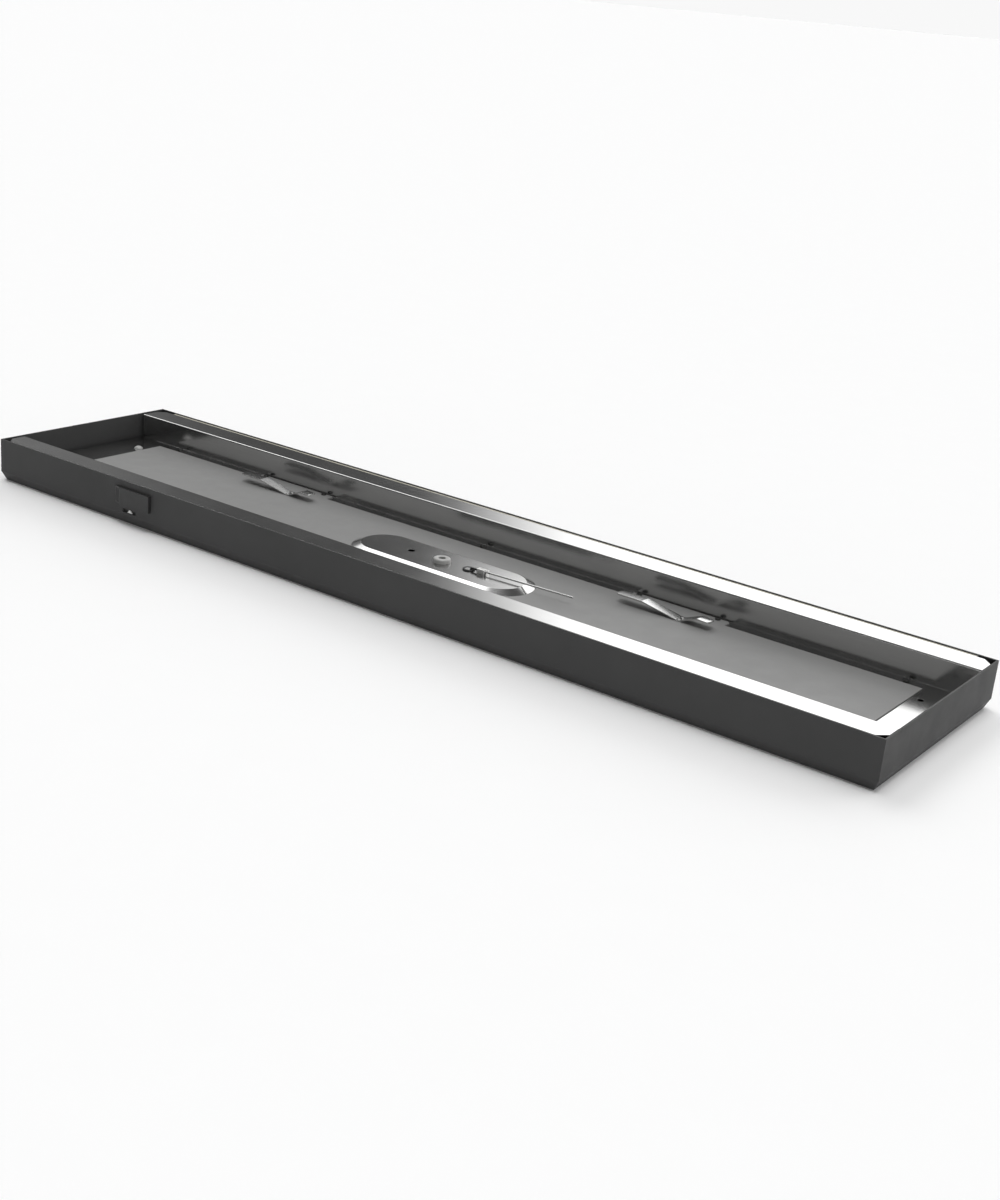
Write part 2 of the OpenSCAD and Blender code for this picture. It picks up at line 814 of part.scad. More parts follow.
module power_supply() {
    size = supply_size;
    ear = 9;
    color([0.80, 0.80, 0.79])
    translate([supply_at[0], supply_at[1], casing_wall]) difference() {
        union() {
            translate([-size[0] / 2, -size[1] / 2, 0]) cube(size);
            translate([-size[0] / 2 - ear, -10, 0]) cube([size[0] + 2 * ear, 20, 1.2]);
        }
        for (side = [-1, 1]) translate([side * (size[0] / 2 + ear / 2), 0, -CUT])
            cylinder(d = screw_d + 0.4, h = 1.2 + 2 * CUT);
    }
}

module supply_screws() {
    color([0.55, 0.55, 0.54])
    for (side = [-1, 1])
        translate([supply_at[0] + side * (supply_size[0] / 2 + 4.5), supply_at[1], casing_wall + 1.2])
            pan_screw(screw_d - 0.1, 1.2);
}

module terminal_block() {
    size = terminal_size;
    color([0.88, 0.88, 0.84])
    translate([terminal_at[0], terminal_at[1], casing_wall]) difference() {
        translate([-size[0] / 2, -size[1] / 2, 0]) cube(size);
        for (pole = [-1, 0, 1]) {
            translate([10 * pole, -size[1], 5]) rotate([-90, 0, 0]) cylinder(d = 3.2, h = 2 * size[1]);
            for (side = [-1, 1]) translate([10 * pole, 5 * side, 5]) cylinder(d = 3.4, h = size[2]);
        }
    }
}

module terminal_screws() {
    color([0.78, 0.68, 0.40])
    for (pole = [-1, 0, 1], side = [-1, 1])
        translate([terminal_at[0] + 10 * pole, terminal_at[1] + 5 * side, casing_wall + 7])
            difference() {
                cylinder(d = 3.2, h = 3.4);
                translate([-2, -0.3, 2.4]) cube([4, 0.6, 2]);
            }
}

// Live and neutral leads from the terminal block to the power supply
module mains_leads() {
    color([0.35, 0.18, 0.10])
    for (pole = [0, 1])
        lead([
            [terminal_at[0] + 10 * pole, terminal_at[1] - 5, casing_wall + 5],
            [terminal_at[0] + 10 * pole, -30 - 8 * pole, casing_wall + 5],
            [supply_at[0] + supply_size[0] / 2, -30 - 8 * pole, casing_wall + 5]
        ], 2.4, 8);
}

module earth_stud() {
    color([0.75, 0.70, 0.50])
    translate([earth_at[0], earth_at[1], casing_wall]) {
        cylinder(d = 4, h = 11);
        translate([0, 0, 0.8]) difference() {
            cylinder(d = 8.1, h = 3.2, $fn = 6);
            translate([0, 0, -CUT]) cylinder(d = 4, h = 6);
        }
    }
}

module earth_lead() {
    color([0.35, 0.55, 0.15])
    lead([
        [terminal_at[0] - 10, terminal_at[1] - 5, casing_wall + 5],
        [terminal_at[0] - 10, earth_at[1], casing_wall + 5],
        [earth_at[0] + 4.2, earth_at[1], casing_wall + 5]
    ], 2.4, 8);
}

// Low-voltage lead from the power supply to the control board
module control_lead() {
    color([0.10, 0.10, 0.10])
    lead([
        [supply_at[0] - supply_size[0] / 2, supply_at[1], 8],
        [120, supply_at[1], 8],
        [120, -48, 8],
        [-248, -48, 8],
        [-248, -97, 8],
        [-285, -97, 14],
        [-285, board_front + board_size[1], 14]
    ], 2.8, 6);
}

// Lead from the control board under the floor to the left end of the light strip
module light_lead() {
    strip_end = panel_x - channel_size[0] / 2 + 4;
    color([0.85, 0.85, 0.83])
    lead([
        [slider_x - 30, board_front + board_size[1], 14],
        [slider_x - 30, -94, 14],
        [slider_x - 60, -94, 8],
        [strip_end - 8, -94, 8],
        [strip_end - 8, 96, 8],
        [strip_end - 8, inner_y - channel_size[1] / 2, 8],
        [strip_end - 8, inner_y - channel_size[1] / 2, channel_z + 1.8],
        [strip_end, inner_y - channel_size[1] / 2, channel_z + 1.8]
    ], 2, 5);
}

// Bushing where a supply cord would enter, empty here
module cable_bushing() {
    neck = bushing_hole_d / 2;
    bore = bushing_bore_d / 2;
    out = slider_proud;
    color([0.06, 0.06, 0.06])
    translate([bushing_x, casing_width / 2, bushing_z]) rotate([-90, 0, 0]) rotate_extrude() union() {
        translate([bore, -casing_wall - 6]) square([neck - bore - 0.1, casing_wall + 6 + TINY]);
        translate([bore, 0]) square([9.5 - bore, 1.8]);
        polygon([[bore, 1.8 - TINY], [7.5, 1.8 - TINY], [6.2, out], [bore, out]]);
    }
}

module rating_plate() {
    color([0.70, 0.70, 0.70])
    translate([330, casing_width / 2 + 0.2, 24]) cube([60, 0.4, 18], center = true);
}

casing();
liner_standoffs();
liner();
bed_panel();
oval_plate();
bracket_left();
bracket_right();
liner_screws();
panel_screws();
hole_plugs();
feed_collar();
collar_nut();
lead_grommet();
lead_ferrule();
probe_clamp();
clamp_screw();
temperature_probe();
probe_lead();
light_channel();
light_board();
light_chips();
light_diffuser();
slider_cap();
slider_pointer();
slider_carriage();
carriage_screws();
slider_guide();
guide_nuts();
slide_switch();
control_board();
board_parts();
board_screws();
power_supply();
supply_screws();
terminal_block();
terminal_screws();
mains_leads();
earth_stud();
earth_lead();
control_lead();
light_lead();
cable_bushing();
rating_plate();
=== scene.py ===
import json
import math

import bmesh
import bpy
from mathutils import Matrix, Vector


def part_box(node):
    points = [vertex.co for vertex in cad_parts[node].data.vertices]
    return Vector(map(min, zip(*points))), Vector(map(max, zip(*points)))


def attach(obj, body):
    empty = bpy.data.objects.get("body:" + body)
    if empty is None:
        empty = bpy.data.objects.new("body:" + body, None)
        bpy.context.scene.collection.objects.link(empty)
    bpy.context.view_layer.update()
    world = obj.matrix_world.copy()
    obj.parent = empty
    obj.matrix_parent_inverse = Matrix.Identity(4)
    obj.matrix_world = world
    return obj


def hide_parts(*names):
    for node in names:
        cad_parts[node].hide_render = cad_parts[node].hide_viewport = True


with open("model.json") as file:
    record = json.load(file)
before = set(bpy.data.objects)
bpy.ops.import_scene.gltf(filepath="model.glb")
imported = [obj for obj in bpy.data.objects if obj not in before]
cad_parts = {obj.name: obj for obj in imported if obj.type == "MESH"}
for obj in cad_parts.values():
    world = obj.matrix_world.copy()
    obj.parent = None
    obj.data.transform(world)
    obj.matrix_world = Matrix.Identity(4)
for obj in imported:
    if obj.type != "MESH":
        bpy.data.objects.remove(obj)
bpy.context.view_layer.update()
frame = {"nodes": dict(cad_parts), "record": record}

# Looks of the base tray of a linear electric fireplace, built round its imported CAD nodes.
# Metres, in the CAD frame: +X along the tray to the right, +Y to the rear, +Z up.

MM = 0.001
NODES = frame["nodes"]
SCENE = bpy.context.scene
SCENE.view_settings.view_transform = "Standard"


# ---------- camera, floor and light ----------

# The camera was fitted to the casing's corners in the photo
CAMERA_LENS = 50.22
CAMERA_PLACE = (0.8963, -1.1952, 0.5275)
CAMERA_TURN_DEGREES = (69.99, -5.03, 36.44)

# Soft boxes of light: azimuth, elevation, half width, half height and edge in degrees, and
# radiance. Their places and strengths were fitted to the brightness of the surfaces in the photo.
LIGHT_BOXES = {
    "rear": (5.5, 25, 39.5, 17, 4, 2.1),
    "upper_left": (-65, 51, 30, 11, 4, 3.0),
    "zenith": (0, 90, 190, 14, 2, 6.8),
    "right": (105, 25, 45, 25, 8, 0.68),
    "front": (150, 2, 50, 6, 3, 2.6),
    "left": (-67, 14, 20, 10, 3, 0.10),
    "left_high": (-66, 33, 15, 9, 5, 1.5),
}
ROOM_RADIANCE = 0.08
BACKDROP_RADIANCE = 0.94

FLOOR_RADIUS = 400
FLOOR_DROP = 0.2 * MM


def make_camera():
    data = bpy.data.cameras.new("camera")
    data.lens = CAMERA_LENS
    data.sensor_width = 36
    data.clip_start = 0.05
    data.clip_end = 1000
    camera = bpy.data.objects.new("camera", data)
    camera.location = CAMERA_PLACE
    camera.rotation_euler = [math.radians(angle) for angle in CAMERA_TURN_DEGREES]
    SCENE.collection.objects.link(camera)
    SCENE.camera = camera


def soft_box(tree, direction, azimuth, elevation, half_width, half_height, edge, radiance):
    """Radiance of a soft-edged box of light at infinity. All angles are in degrees, and
    azimuth is counted from +Y towards +X."""

    def along(axis):
        dot = tree.nodes.new("ShaderNodeVectorMath")
        dot.operation = "DOT_PRODUCT"
        dot.inputs[1].default_value = axis
        tree.links.new(direction, dot.inputs[0])
        return dot.outputs["Value"]

    def math_node(operation, *values):
        made = tree.nodes.new("ShaderNodeMath")
        made.operation = operation
        for socket, value in zip(made.inputs, values):
            if isinstance(value, float):
                socket.default_value = value
            else:
                tree.links.new(value, socket)
        return made.outputs[0]

    def inside(angle, half):
        fade = tree.nodes.new("ShaderNodeMapRange")
        fade.interpolation_type = "SMOOTHSTEP"
        fade.inputs["From Min"].default_value = math.radians(half - edge)
        fade.inputs["From Max"].default_value = math.radians(half + edge)
        fade.inputs["To Min"].default_value = 1
        fade.inputs["To Max"].default_value = 0
        tree.links.new(math_node("ABSOLUTE", angle), fade.inputs["Value"])
        return fade.outputs["Result"]

    turn = math.radians(azimuth)
    ahead = along((math.sin(turn), math.cos(turn), 0))
    aside = along((math.cos(turn), -math.sin(turn), 0))
    sideways = inside(math_node("ARCTAN2", aside, ahead), half_width)
    height = math_node("SUBTRACT", math_node("ARCSINE", along((0, 0, 1))), math.radians(elevation))
    both = math_node("MULTIPLY", sideways, inside(height, half_height))
    return math_node("MULTIPLY", both, float(radiance))


def make_world():
    """A plain studio: a dim even room with soft boxes of light round it and overhead. What the
    camera sees past the floor is a plain pale backdrop, and not the boxes."""
    world = bpy.data.worlds.new("studio")
    world.use_nodes = True
    SCENE.world = world
    tree = world.node_tree
    direction = tree.nodes.new("ShaderNodeTexCoord").outputs["Generated"]
    total = None
    for box in LIGHT_BOXES.values():
        light = soft_box(tree, direction, *box)
        add = tree.nodes.new("ShaderNodeMath")
        add.operation = "ADD"
        if total is None:
            add.inputs[0].default_value = ROOM_RADIANCE
        else:
            tree.links.new(total, add.inputs[0])
        tree.links.new(light, add.inputs[1])
        total = add.outputs[0]
    seen = tree.nodes.new("ShaderNodeMix")
    seen.inputs["B"].default_value = BACKDROP_RADIANCE
    path = tree.nodes.new("ShaderNodeLightPath")
    tree.links.new(path.outputs["Is Camera Ray"], seen.inputs["Factor"])
    tree.links.new(total, seen.inputs["A"])
    background = tree.nodes["Background"]
    background.inputs["Color"].default_value = (1, 1, 1, 1)
    tree.links.new(seen.outputs["Result"], background.inputs["Strength"])


def make_floor():
    """Pale floor, wide enough to reach the horizon, and just below the tray's own bottom."""
    shape = bmesh.new()
    bmesh.ops.create_circle(shape, cap_ends=True, segments=64, radius=FLOOR_RADIUS)
    mesh = bpy.data.meshes.new("floor")
    shape.to_mesh(mesh)
    shape.free()
    floor = bpy.data.objects.new("floor", mesh)
    floor.location.z = -FLOOR_DROP
    SCENE.collection.objects.link(floor)
    paint = Paint("pale_floor", (0.97, 0.97, 0.97), 0.9)
    paint.shader.inputs["Specular IOR Level"].default_value = 0
    paint.tint(paint.noise(40 * MM), 0.995, 1.0)
    floor.data.materials.append(paint.material)


# ---------- materials ----------


class Paint:
    """A node material built step by step. Its patterns are sized in metres, in the object's frame."""

    def __init__(self, name, colour, roughness, metallic=0.0):
        self.material = bpy.data.materials.new(name)
        self.material.use_nodes = True
        self.tree = self.material.node_tree
        self.shader = self.tree.nodes["Principled BSDF"]
        self.colour = (*colour, 1)
        self.roughness = roughness
        self.shader.inputs["Base Color"].default_value = self.colour
        self.shader.inputs["Roughness"].default_value = roughness
        self.shader.inputs["Metallic"].default_value = metallic
        self.place = self.tree.nodes.new("ShaderNodeTexCoord").outputs["Object"]
        self.tinted = None
        self.glossed = None
        self.bumped = None

    def node(self, kind, **inputs):
        made = self.tree.nodes.new(kind)
        for name, value in inputs.items():
            made.inputs[name.replace("_", " ")].default_value = value
        return made

    def scaled_place(self, size, stretch):
        mapping = self.node("ShaderNodeMapping")
        mapping.inputs["Scale"].default_value = [1 / (size * s) for s in stretch]
        self.tree.links.new(self.place, mapping.inputs["Vector"])
        return mapping.outputs["Vector"]

    def noise(self, size, stretch=(1, 1, 1), detail=2.0):
        """Smooth noise whose spots are about size across, drawn out by stretch."""
        made = self.node("ShaderNodeTexNoise", Scale=1.0, Detail=detail)
        self.tree.links.new(self.scaled_place(size, stretch), made.inputs["Vector"])
        return made.outputs["Fac"]

    def cells(self, size):
        """Pattern of cells about size across, 0 at each cell's centre."""
        made = self.node("ShaderNodeTexVoronoi", Scale=1.0)
        self.tree.links.new(self.scaled_place(size, (1, 1, 1)), made.inputs["Vector"])
        return made.outputs["Distance"]

    def spread(self, pattern, low, high, start=0.3, stop=0.7):
        """The pattern's start to stop, spread over low to high."""
        made = self.node("ShaderNodeMapRange", From_Min=start, From_Max=stop, To_Min=low, To_Max=high)
        self.tree.links.new(pattern, made.inputs["Value"])
        return made.outputs["Result"]

    def tint(self, pattern, low, high, start=0.3, stop=0.7):
        """Multiplies the colour by low to high, after the pattern."""
        mix = self.node("ShaderNodeVectorMath")
        mix.operation = "SCALE"
        if self.tinted is None:
            mix.inputs[0].default_value = self.colour[:3]
        else:
            self.tree.links.new(self.tinted, mix.inputs[0])
        self.tree.links.new(self.spread(pattern, low, high, start, stop), mix.inputs["Scale"])
        self.tinted = mix.outputs["Vector"]
        self.tree.links.new(self.tinted, self.shader.inputs["Base Color"])

    def gloss(self, pattern, low, high, start=0.3, stop=0.7):
        """Adds low to high to the roughness, after the pattern."""
        add = self.node("ShaderNodeMath")
        add.operation = "ADD"
        add.use_clamp = True
        if self.glossed is None:
            add.inputs[0].default_value = self.roughness
        else:
            self.tree.links.new(self.glossed, add.inputs[0])
        self.tree.links.new(self.spread(pattern, low, high, start, stop), add.inputs[1])
        self.glossed = add.outputs[0]
        self.tree.links.new(self.glossed, self.shader.inputs["Roughness"])

    def bump(self, pattern, depth):
        """Raises the surface by up to depth where the pattern is 1."""
        made = self.node("ShaderNodeBump", Strength=1.0, Distance=depth)
        self.tree.links.new(pattern, made.inputs["Height"])
        if self.bumped is not None:
            self.tree.links.new(self.bumped, made.inputs["Normal"])
        self.bumped = made.outputs["Normal"]
        self.tree.links.new(self.bumped, self.shader.inputs["Normal"])

    def worn_edges(self, radius, lightest):
        """Lightens the colour where the surface turns sharply within radius."""
        bevel = self.tree.nodes.new("ShaderNodeBevel")
        bevel.samples = 4
        bevel.inputs["Radius"].default_value = radius
        geometry = self.tree.nodes.new("ShaderNodeNewGeometry")
        dot = self.tree.nodes.new("ShaderNodeVectorMath")
        dot.operation = "DOT_PRODUCT"
        self.tree.links.new(bevel.outputs["Normal"], dot.inputs[0])
        self.tree.links.new(geometry.outputs["Normal"], dot.inputs[1])
        self.tint(dot.outputs["Value"], lightest, 1.0, 0.8, 1.0)


def powder_coat():
    paint = Paint("powder_coat", (0.054, 0.054, 0.054), 0.55)
    paint.shader.inputs["Specular IOR Level"].default_value = 0.2
    paint.tint(paint.noise(60 * MM, (2, 1, 1), 4), 0.95, 1.05)
    paint.gloss(paint.noise(25 * MM, detail=3), -0.05, 0.06)
    paint.worn_edges(0.8 * MM, 1.08)
    paint.bump(paint.noise(1.1 * MM, detail=1), 18e-6)
    paint.bump(paint.noise(0.35 * MM), 6e-6)
    return paint.material


def brushed_steel(name, colour, roughness, grain_along, smudges=0.04):
    """Rolled or brushed steel whose grain runs along the given axis."""
    stretch = [60 if axis == grain_along else 1 for axis in "xyz"]
    paint = Paint(name, colour, roughness, metallic=1.0)
    paint.tint(paint.noise(0.5 * MM, stretch, 3), 0.94, 1.04)
    paint.tint(paint.noise(45 * MM, detail=3), 0.97, 1.02)
    paint.gloss(paint.noise(0.6 * MM, stretch, 3), -0.01, 0.01)
    paint.gloss(paint.noise(30 * MM, detail=4), -smudges, smudges)
    paint.bump(paint.noise(0.2 * MM, stretch, 2), 1e-6)
    return paint.material


def bed_sheet():
    """Matte mid grey sheet with a fine mottled coat."""
    paint = Paint("bed_grey", (0.225, 0.225, 0.222), 0.55)
    paint.shader.inputs["Specular IOR Level"].default_value = 0.4
    paint.tint(paint.noise(0.8 * MM, detail=3), 0.93, 1.06)
    paint.tint(paint.noise(70 * MM, (2, 1, 1), 4), 0.96, 1.04)
    paint.gloss(paint.noise(20 * MM, detail=4), -0.05, 0.07)
    paint.bump(paint.noise(0.6 * MM), 8e-6)
    return paint.material


def zinc_plate(name="zinc_steel", lightness=0.55):
    paint = Paint(name, (lightness, lightness, 0.98 * lightness), 0.32, metallic=1.0)
    paint.tint(paint.cells(1.5 * MM), 0.9, 1.05, 0.0, 0.8)
    paint.gloss(paint.noise(2 * MM, detail=3), -0.06, 0.10)
    paint.bump(paint.noise(0.25 * MM), 4e-6)
    return paint.material


def turned_brass():
    paint = Paint("brass", (0.72, 0.55, 0.27), 0.28, metallic=1.0)
    paint.tint(paint.noise(3 * MM, detail=3), 0.85, 1.05)
    paint.gloss(paint.noise(0.4 * MM, (1, 1, 0.3)), -0.04, 0.12)
    paint.bump(paint.noise(0.2 * MM, (20, 20, 1)), 4e-6)
    return paint.material


def moulded(name, colour, roughness, grain=0.3 * MM, depth=8e-6):
    """Moulded plastic or rubber with a fine texture."""
    paint = Paint(name, colour, roughness)
    paint.tint(paint.noise(15 * MM, detail=3), 0.94, 1.06)
    paint.gloss(paint.noise(6 * MM, detail=3), -0.05, 0.06)
    paint.bump(paint.noise(grain), depth)
    return paint.material


def opal():
    paint = Paint("opal_cover", (0.50, 0.48, 0.40), 0.35)
    paint.shader.inputs["Subsurface Weight"].default_value = 0.2
    paint.shader.inputs["Subsurface Radius"].default_value = (2 * MM, 2 * MM, 1.5 * MM)
    paint.tint(paint.noise(12 * MM, (4, 1, 1), 3), 0.93, 1.04)
    paint.gloss(paint.noise(4 * MM, detail=2), -0.05, 0.05)
    paint.bump(paint.noise(0.5 * MM, (10, 1, 1)), 5e-6)
    return paint.material


def circuit_board():
    """Solder mask with faint tracks under it."""
    paint = Paint("circuit_green", (0.018, 0.16, 0.075), 0.28)
    tracks = paint.cells(3 * MM)
    paint.tint(tracks, 0.75, 1.35, 0.1, 0.6)
    paint.gloss(paint.noise(2 * MM, detail=2), -0.05, 0.08)
    paint.bump(tracks, 15e-6)
    return paint.material


MATERIALS = {
    "powder_coat": powder_coat(),
    "bright_liner": brushed_steel("bright_liner", (0.56, 0.56, 0.555), 0.17, "x", 0.015),
    "bed_grey": bed_sheet(),
    "satin_steel": brushed_steel("satin_steel", (0.58, 0.58, 0.575), 0.20, "x", 0.02),
    "zinc_steel": zinc_plate(),
    # Near-black copy of the zinc for the screws: painted shade and dark reflection, not a finish of their
    # own
    "shaded_zinc": zinc_plate("shaded_zinc", 0.07),
    "nickel": zinc_plate("nickel", 0.64),
    "brass": turned_brass(),
    "black_rubber": moulded("black_rubber", (0.018, 0.018, 0.018), 0.6),
    "black_plastic": moulded("black_plastic", (0.019, 0.019, 0.019), 0.45),
    # Blacker, rougher copy of the black plastic for the carriage seen through the slot: painted shade
    # inside the slot
    "shaded_black_plastic": moulded("shaded_black_plastic", (0.005, 0.005, 0.005), 0.7),
    "white_plastic": moulded("white_plastic", (0.82, 0.82, 0.80), 0.4),
    "grey_plastic": moulded("grey_plastic", (0.42, 0.42, 0.41), 0.35),
    "opal_cover": opal(),
    "anodised": brushed_steel("anodised", (0.20, 0.20, 0.20), 0.35, "x"),
    "circuit_green": circuit_board(),
    "lead_black": moulded("lead_black", (0.02, 0.02, 0.02), 0.4),
    "lead_brown": moulded("lead_brown", (0.14, 0.06, 0.03), 0.4),
    "lead_earth": moulded("lead_earth", (0.22, 0.40, 0.05), 0.4),
    "lead_white": moulded("lead_white", (0.70, 0.70, 0.68), 0.4),
}


# ---------- mesh helpers ----------

# Angles in degrees between two faces
SMOOTH_BELOW = 35
ROUND_ABOVE = 50


def new_piece(name, shape, slot, body, *replaced, round_edges=0.0, smooth_below=SMOOTH_BELOW):
    """Turns a bmesh into a piece with its material, which rides a body and stands for CAD nodes."""
    bmesh.ops.recalc_face_normals(shape, faces=shape.faces)
    mesh = bpy.data.meshes.new(name)
    shape.to_mesh(mesh)
    shape.free()
    mesh.shade_smooth()
    mesh.set_sharp_from_angle(angle=math.radians(smooth_below))
    mesh.materials.append(MATERIALS[slot])
    made = bpy.data.objects.new(name, mesh)
    SCENE.collection.objects.link(made)
    if round_edges:
        bevel = made.modifiers.new("edges", "BEVEL")
        bevel.width = round_edges
        bevel.segments = 2
        bevel.limit_method = "ANGLE"
        bevel.angle_limit = math.radians(ROUND_ABOVE)
        bevel.harden_normals = True
    flat = made.modifiers.new("flat_faces", "WEIGHTED_NORMAL")
    flat.keep_sharp = True
    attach(made, body)
    if replaced:
        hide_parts(*replaced)
    return made


def rounded(corners):
    """Path through (x, y, radius) corners, each turned on an arc of its radius."""
    steps = 6
    points = [Vector(corner[:2]) for corner in corners]
    path = [points[0]]
    for index in range(1, len(points) - 1):
        corner = points[index]
        radius = corners[index][2]
        back = (points[index - 1] - corner).normalized()
        on = (points[index + 1] - corner).normalized()
        half = back.angle(on) / 2
        centre = corner + (back + on).normalized() * radius / math.sin(half)
        start = corner + back * radius / math.tan(half) - centre
        stop = corner + on * radius / math.tan(half) - centre
        path += [centre + start.slerp(stop, step / steps) * radius for step in range(steps + 1)]
    path.append(points[-1])
    return path


def offset(path, distance):
    """The path moved sideways to its left, each point square to the path there."""
    moved = []
    for index, point in enumerate(path):
        along = path[min(index + 1, len(path) - 1)] - path[max(index - 1, 0)]
        moved.append(point + Vector((-along.y, along.x)).normalized() * distance)
    return moved


def loft(shape, rings, close_along=False):
    """Joins rings of points with quads, and caps the first and last ring."""
    made = [[shape.verts.new(point) for point in ring] for ring in rings]
    pairs = list(zip(made, made[1:]))
    if close_along:
        pairs.append((made[-1], made[0]))
    for low, high in pairs:
        for index in range(len(low)):
            after = (index + 1) % len(low)
            shape.faces.new((low[index], low[after], high[after], high[index]))
    if not close_along:
        shape.faces.new(made[0])
        shape.faces.new(made[-1])


def circle_points(centre, radius, count):
    turns = [2 * math.pi * index / count for index in range(count)]
    return [(centre[0] + radius * math.cos(t), centre[1] + radius * math.sin(t)) for t in turns]


def upright(outline, low, high):
    """Rings of an upright prism over a plan outline."""
    return [[(x, y, z) for x, y in outline] for z in (low, high)]


def lathe(shape, profile, centre, count):
    """Closed solid turned about the upright axis through centre from (radius, z) points."""
    turns = [2 * math.pi * index / count for index in range(count)]
    rings = []
    for t in turns:
        way = (math.cos(t), math.sin(t))
        rings.append([(centre[0] + r * way[0], centre[1] + r * way[1], z) for r, z in profile])
    loft(shape, rings, close_along=True)


def cut(made, rings_of_cutters):
    """Takes lofted solids away from a piece's own mesh. Its modifiers stay, and aren't applied."""
    shape = bmesh.new()
    for rings in rings_of_cutters:
        loft(shape, rings)
    bmesh.ops.recalc_face_normals(shape, faces=shape.faces)
    mesh = bpy.data.meshes.new("cutter")
    shape.to_mesh(mesh)
    shape.free()
    cutter = bpy.data.objects.new("cutter", mesh)
    SCENE.collection.objects.link(cutter)
    boolean = made.modifiers.new("cut", "BOOLEAN")
    boolean.object = cutter
    boolean.operation = "DIFFERENCE"
    boolean.solver = "EXACT"
    made.modifiers.move(len(made.modifiers) - 1, 0)
    shown = [modifier for modifier in made.modifiers if modifier != boolean]
    for modifier in shown:
        modifier.show_viewport = False
    bpy.context.view_layer.update()
    graph = bpy.context.evaluated_depsgraph_get()
    result = bpy.data.meshes.new_from_object(made.evaluated_get(graph), depsgraph=graph)
    result.name = made.name
    made.modifiers.remove(boolean)
    made.data = result
    bpy.data.objects.remove(cutter)
    for modifier in shown:
        modifier.show_viewport = True
    result.shade_smooth()
    result.set_sharp_from_angle(angle=math.radians(SMOOTH_BELOW))


def solid_centres(node):
    """Middle of each separate solid of a CAD node."""
    shape = bmesh.new()
    shape.from_mesh(NODES[node].data)
    bmesh.ops.remove_doubles(shape, verts=shape.verts, dist=0.001 * MM)
    left = set(shape.verts)
    centres = []
    while left:
        island = {left.pop()}
        edge = list(island)
        while edge:
            vert = edge.pop()
            for link in vert.link_edges:
                other = link.other_vert(vert)
                if other not in island:
                    island.add(other)
                    edge.append(other)
        left -= island
        low = Vector([min(v.co[axis] for v in island) for axis in range(3)])
        high = Vector([max(v.co[axis] for v in island) for axis in range(3)])
        centres.append((low + high) / 2)
    shape.free()
    return sorted(centres, key=lambda centre: (round(centre.x, 4), round(centre.y, 4)))


# ---------- sheet-metal pieces ----------

SHEET = 1 * MM
# Inner faces of the liner's front and rear wall
LINER_FRONT_Y = -86.3 * MM
LINER_REAR_Y = 78.8 * MM
# Radii of the holes
FIXING_HOLE = 2.6 * MM
LINER_SCREW_HOLE = 1.7 * MM
PANEL_SCREW_HOLE = 1.5 * MM
COLLAR_HOLE = 5.7 * MM
GROMMET_BORE = 3.8 * MM
GROMMET_NECK = 5.0 * MM
SIGHT_HOLE = 3.55 * MM
SIGHT_HOLE_PLACE = (-32.9 * MM, -4.2 * MM)


def make_liner():
    """Hat-section liner with bend radii, cut flange corners and its screw and fixing holes."""
    low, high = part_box("liner")
    bend = 0.8 * MM
    top = high.z - SHEET / 2
    floor = low.z + SHEET / 2
    front = LINER_FRONT_Y - SHEET / 2
    rear = LINER_REAR_Y + SHEET / 2
    path = rounded([
        (low.y, top), (front, top, bend), (front, floor, bend),
        (rear, floor, bend), (rear, top, bend), (high.y, top),
    ])
    outline = offset(path, SHEET / 2) + offset(path, -SHEET / 2)[::-1]
    shape = bmesh.new()
    loft(shape, [[(x, y, z) for y, z in outline] for x in (low.x, high.x)])
    made = new_piece("liner_shell", shape, "bright_liner", "tray", "liner", round_edges=0.05 * MM)
    cutters = []
    corner = 8 * MM
    spare = 1 * MM
    for x, way_x in ((low.x, 1), (high.x, -1)):
        for y, way_y in ((low.y, 1), (high.y, -1)):
            triangle = [
                (x - spare * way_x, y - spare * way_y),
                (x + (corner + spare) * way_x, y - spare * way_y),
                (x - spare * way_x, y + (corner + spare) * way_y),
            ]
            cutters.append(upright(triangle, high.z - 3 * MM, high.z + spare))
    pattern = next(mount for mount in frame["record"]["mounts"] if mount["name"] == "fixing_holes")
    span_x = pattern["dims"]["spacing_x_mm"] * MM / 2
    span_y = pattern["dims"]["spacing_y_mm"] * MM / 2
    mid_x, mid_y = pattern["pos_m"][:2]
    holes = [
        (mid_x + a * span_x, mid_y + b * span_y, FIXING_HOLE) for a in (-1, 1) for b in (-1, 1)
    ]
    holes += [(c.x, c.y, LINER_SCREW_HOLE) for c in solid_centres("liner_screws")]
    holes += [(c.x, c.y, PANEL_SCREW_HOLE) for c in solid_centres("panel_screws")]
    for node, radius in (("feed_collar", COLLAR_HOLE), ("lead_grommet", GROMMET_BORE)):
        low_corner, high_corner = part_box(node)
        middle = (low_corner + high_corner) / 2
        holes.append((middle.x, middle.y, radius))
    for x, y, radius in holes:
        cutters.append(upright(circle_points((x, y), radius, 32), low.z - spare, low.z + 2 * MM))
    cut(made, cutters)


def oval_points(centre, span, radius):
    """Outline of a bar with round ends, counter-clockwise."""
    arc = 24
    points = []
    for side, start in ((1, -90), (-1, 90)):
        for index in range(arc + 1):
            turn = math.radians(start + 180 * index / arc)
            points.append((
                centre[0] + side * span / 2 + radius * math.cos(turn),
                centre[1] + radius * math.sin(turn),
            ))
    return points


